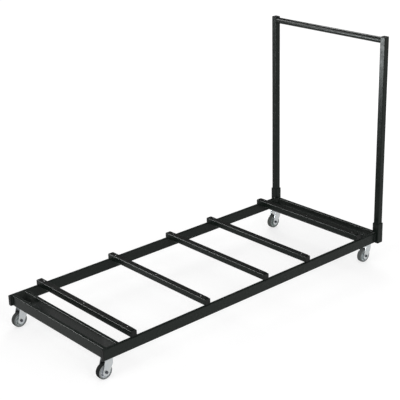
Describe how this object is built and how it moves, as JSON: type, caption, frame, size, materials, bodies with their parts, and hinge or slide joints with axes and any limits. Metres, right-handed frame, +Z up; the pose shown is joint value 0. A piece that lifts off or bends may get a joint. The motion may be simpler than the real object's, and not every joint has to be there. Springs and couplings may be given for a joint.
{
  "type": "banquet table trolley",
  "caption": "Low wheeled trolley for stacked banquet tables: a tube deck with raised padded bars, a lift-out push handle in corner sockets, and swivel castors.",
  "frame": {"origin": "on the floor under the middle of the trolley's outline", "axes": "+X towards the push handle, +Y to the left when facing the handle end, +Z up"},
  "size_m": [1.8684, 0.8, 1.226],
  "materials": {
    "frame_paint": "satin black powder coat",
    "cap_plastic": "moulded black plastic",
    "strip_rubber": "matt black rubber",
    "zinc_plate": "bright zinc plate",
    "castor_zinc": "bright zinc-plated pressed steel",
    "bolt_steel": "zinc-plated steel",
    "bearing_steel": "polished steel",
    "wheel_plastic": "moulded light grey plastic",
    "tyre_rubber": "grey non-marking rubber"
  },
  "bodies": {
    "deck": {"left_rail": "frame_paint", "right_rail": "frame_paint", "front_cross_tube": "frame_paint", "front_inner_tube": "frame_paint", "rear_cross_tube": "frame_paint", "rear_inner_tube": "frame_paint", "front_castor_plates": "frame_paint", "rear_castor_plates": "frame_paint", "left_socket": "frame_paint", "right_socket": "frame_paint", "rail_caps": "cap_plastic", "bar_caps": "cap_plastic", "strip_screws": "zinc_plate", "castor_bolts": "bolt_steel", "swivel_balls": "bearing_steel", "bar_1": "frame_paint", "bar_2": "frame_paint", "bar_3": "frame_paint", "bar_4": "frame_paint", "bar_5": "frame_paint", "strip_1": "strip_rubber", "strip_2": "strip_rubber", "strip_3": "strip_rubber", "strip_4": "strip_rubber", "strip_5": "strip_rubber", "castor_head_front_left": "castor_zinc", "king_pin_front_left": "castor_zinc", "castor_head_front_right": "castor_zinc", "king_pin_front_right": "castor_zinc", "castor_head_rear_left": "castor_zinc", "king_pin_rear_left": "castor_zinc", "castor_head_rear_right": "castor_zinc", "king_pin_rear_right": "castor_zinc"},
    "handle": {"left_post": "frame_paint", "right_post": "frame_paint", "push_bar": "frame_paint", "post_caps": "cap_plastic"},
    "castor_front_left": {"fork_front_left": "castor_zinc", "axle_sleeve_front_left": "bolt_steel", "axle_bolt_front_left": "bolt_steel"},
    "wheel_front_left": {"wheel_centre_front_left": "wheel_plastic", "tyre_front_left": "tyre_rubber"},
    "castor_front_right": {"fork_front_right": "castor_zinc", "axle_sleeve_front_right": "bolt_steel", "axle_bolt_front_right": "bolt_steel"},
    "wheel_front_right": {"wheel_centre_front_right": "wheel_plastic", "tyre_front_right": "tyre_rubber"},
    "castor_rear_left": {"fork_rear_left": "castor_zinc", "axle_sleeve_rear_left": "bolt_steel", "axle_bolt_rear_left": "bolt_steel"},
    "wheel_rear_left": {"wheel_centre_rear_left": "wheel_plastic", "tyre_rear_left": "tyre_rubber"},
    "castor_rear_right": {"fork_rear_right": "castor_zinc", "axle_sleeve_rear_right": "bolt_steel", "axle_bolt_rear_right": "bolt_steel"},
    "wheel_rear_right": {"wheel_centre_rear_right": "wheel_plastic", "tyre_rear_right": "tyre_rubber"}
  },
  "joints": [
    {"name": "handle_lift", "type": "slide", "parent": "deck", "child": "handle", "axis": [0, 0, 1], "range_m": [0, 0.1]},
    {"name": "swivel_front_left", "type": "hinge", "parent": "deck", "child": "castor_front_left", "pos_m": [-0.86675, 0.34, 0.104], "axis": [0, 0, 1], "continuous": true},
    {"name": "spin_front_left", "type": "hinge", "parent": "castor_front_left", "child": "wheel_front_left", "pos_m": [-0.89675, 0.34, 0.0375], "axis": [0, 1, 0], "continuous": true},
    {"name": "swivel_front_right", "type": "hinge", "parent": "deck", "child": "castor_front_right", "pos_m": [-0.86675, -0.34, 0.104], "axis": [0, 0, 1], "continuous": true},
    {"name": "spin_front_right", "type": "hinge", "parent": "castor_front_right", "child": "wheel_front_right", "pos_m": [-0.89675, -0.34, 0.0375], "axis": [0, 1, 0], "continuous": true},
    {"name": "swivel_rear_left", "type": "hinge", "parent": "deck", "child": "castor_rear_left", "pos_m": [0.87975, 0.34, 0.104], "axis": [0, 0, 1], "continuous": true},
    {"name": "spin_rear_left", "type": "hinge", "parent": "castor_rear_left", "child": "wheel_rear_left", "pos_m": [0.84975, 0.34, 0.0375], "axis": [0, 1, 0], "continuous": true},
    {"name": "swivel_rear_right", "type": "hinge", "parent": "deck", "child": "castor_rear_right", "pos_m": [0.87975, -0.34, 0.104], "axis": [0, 0, 1], "continuous": true},
    {"name": "spin_rear_right", "type": "hinge", "parent": "castor_rear_right", "child": "wheel_rear_right", "pos_m": [0.84975, -0.34, 0.0375], "axis": [0, 1, 0], "continuous": true}
  ]
}
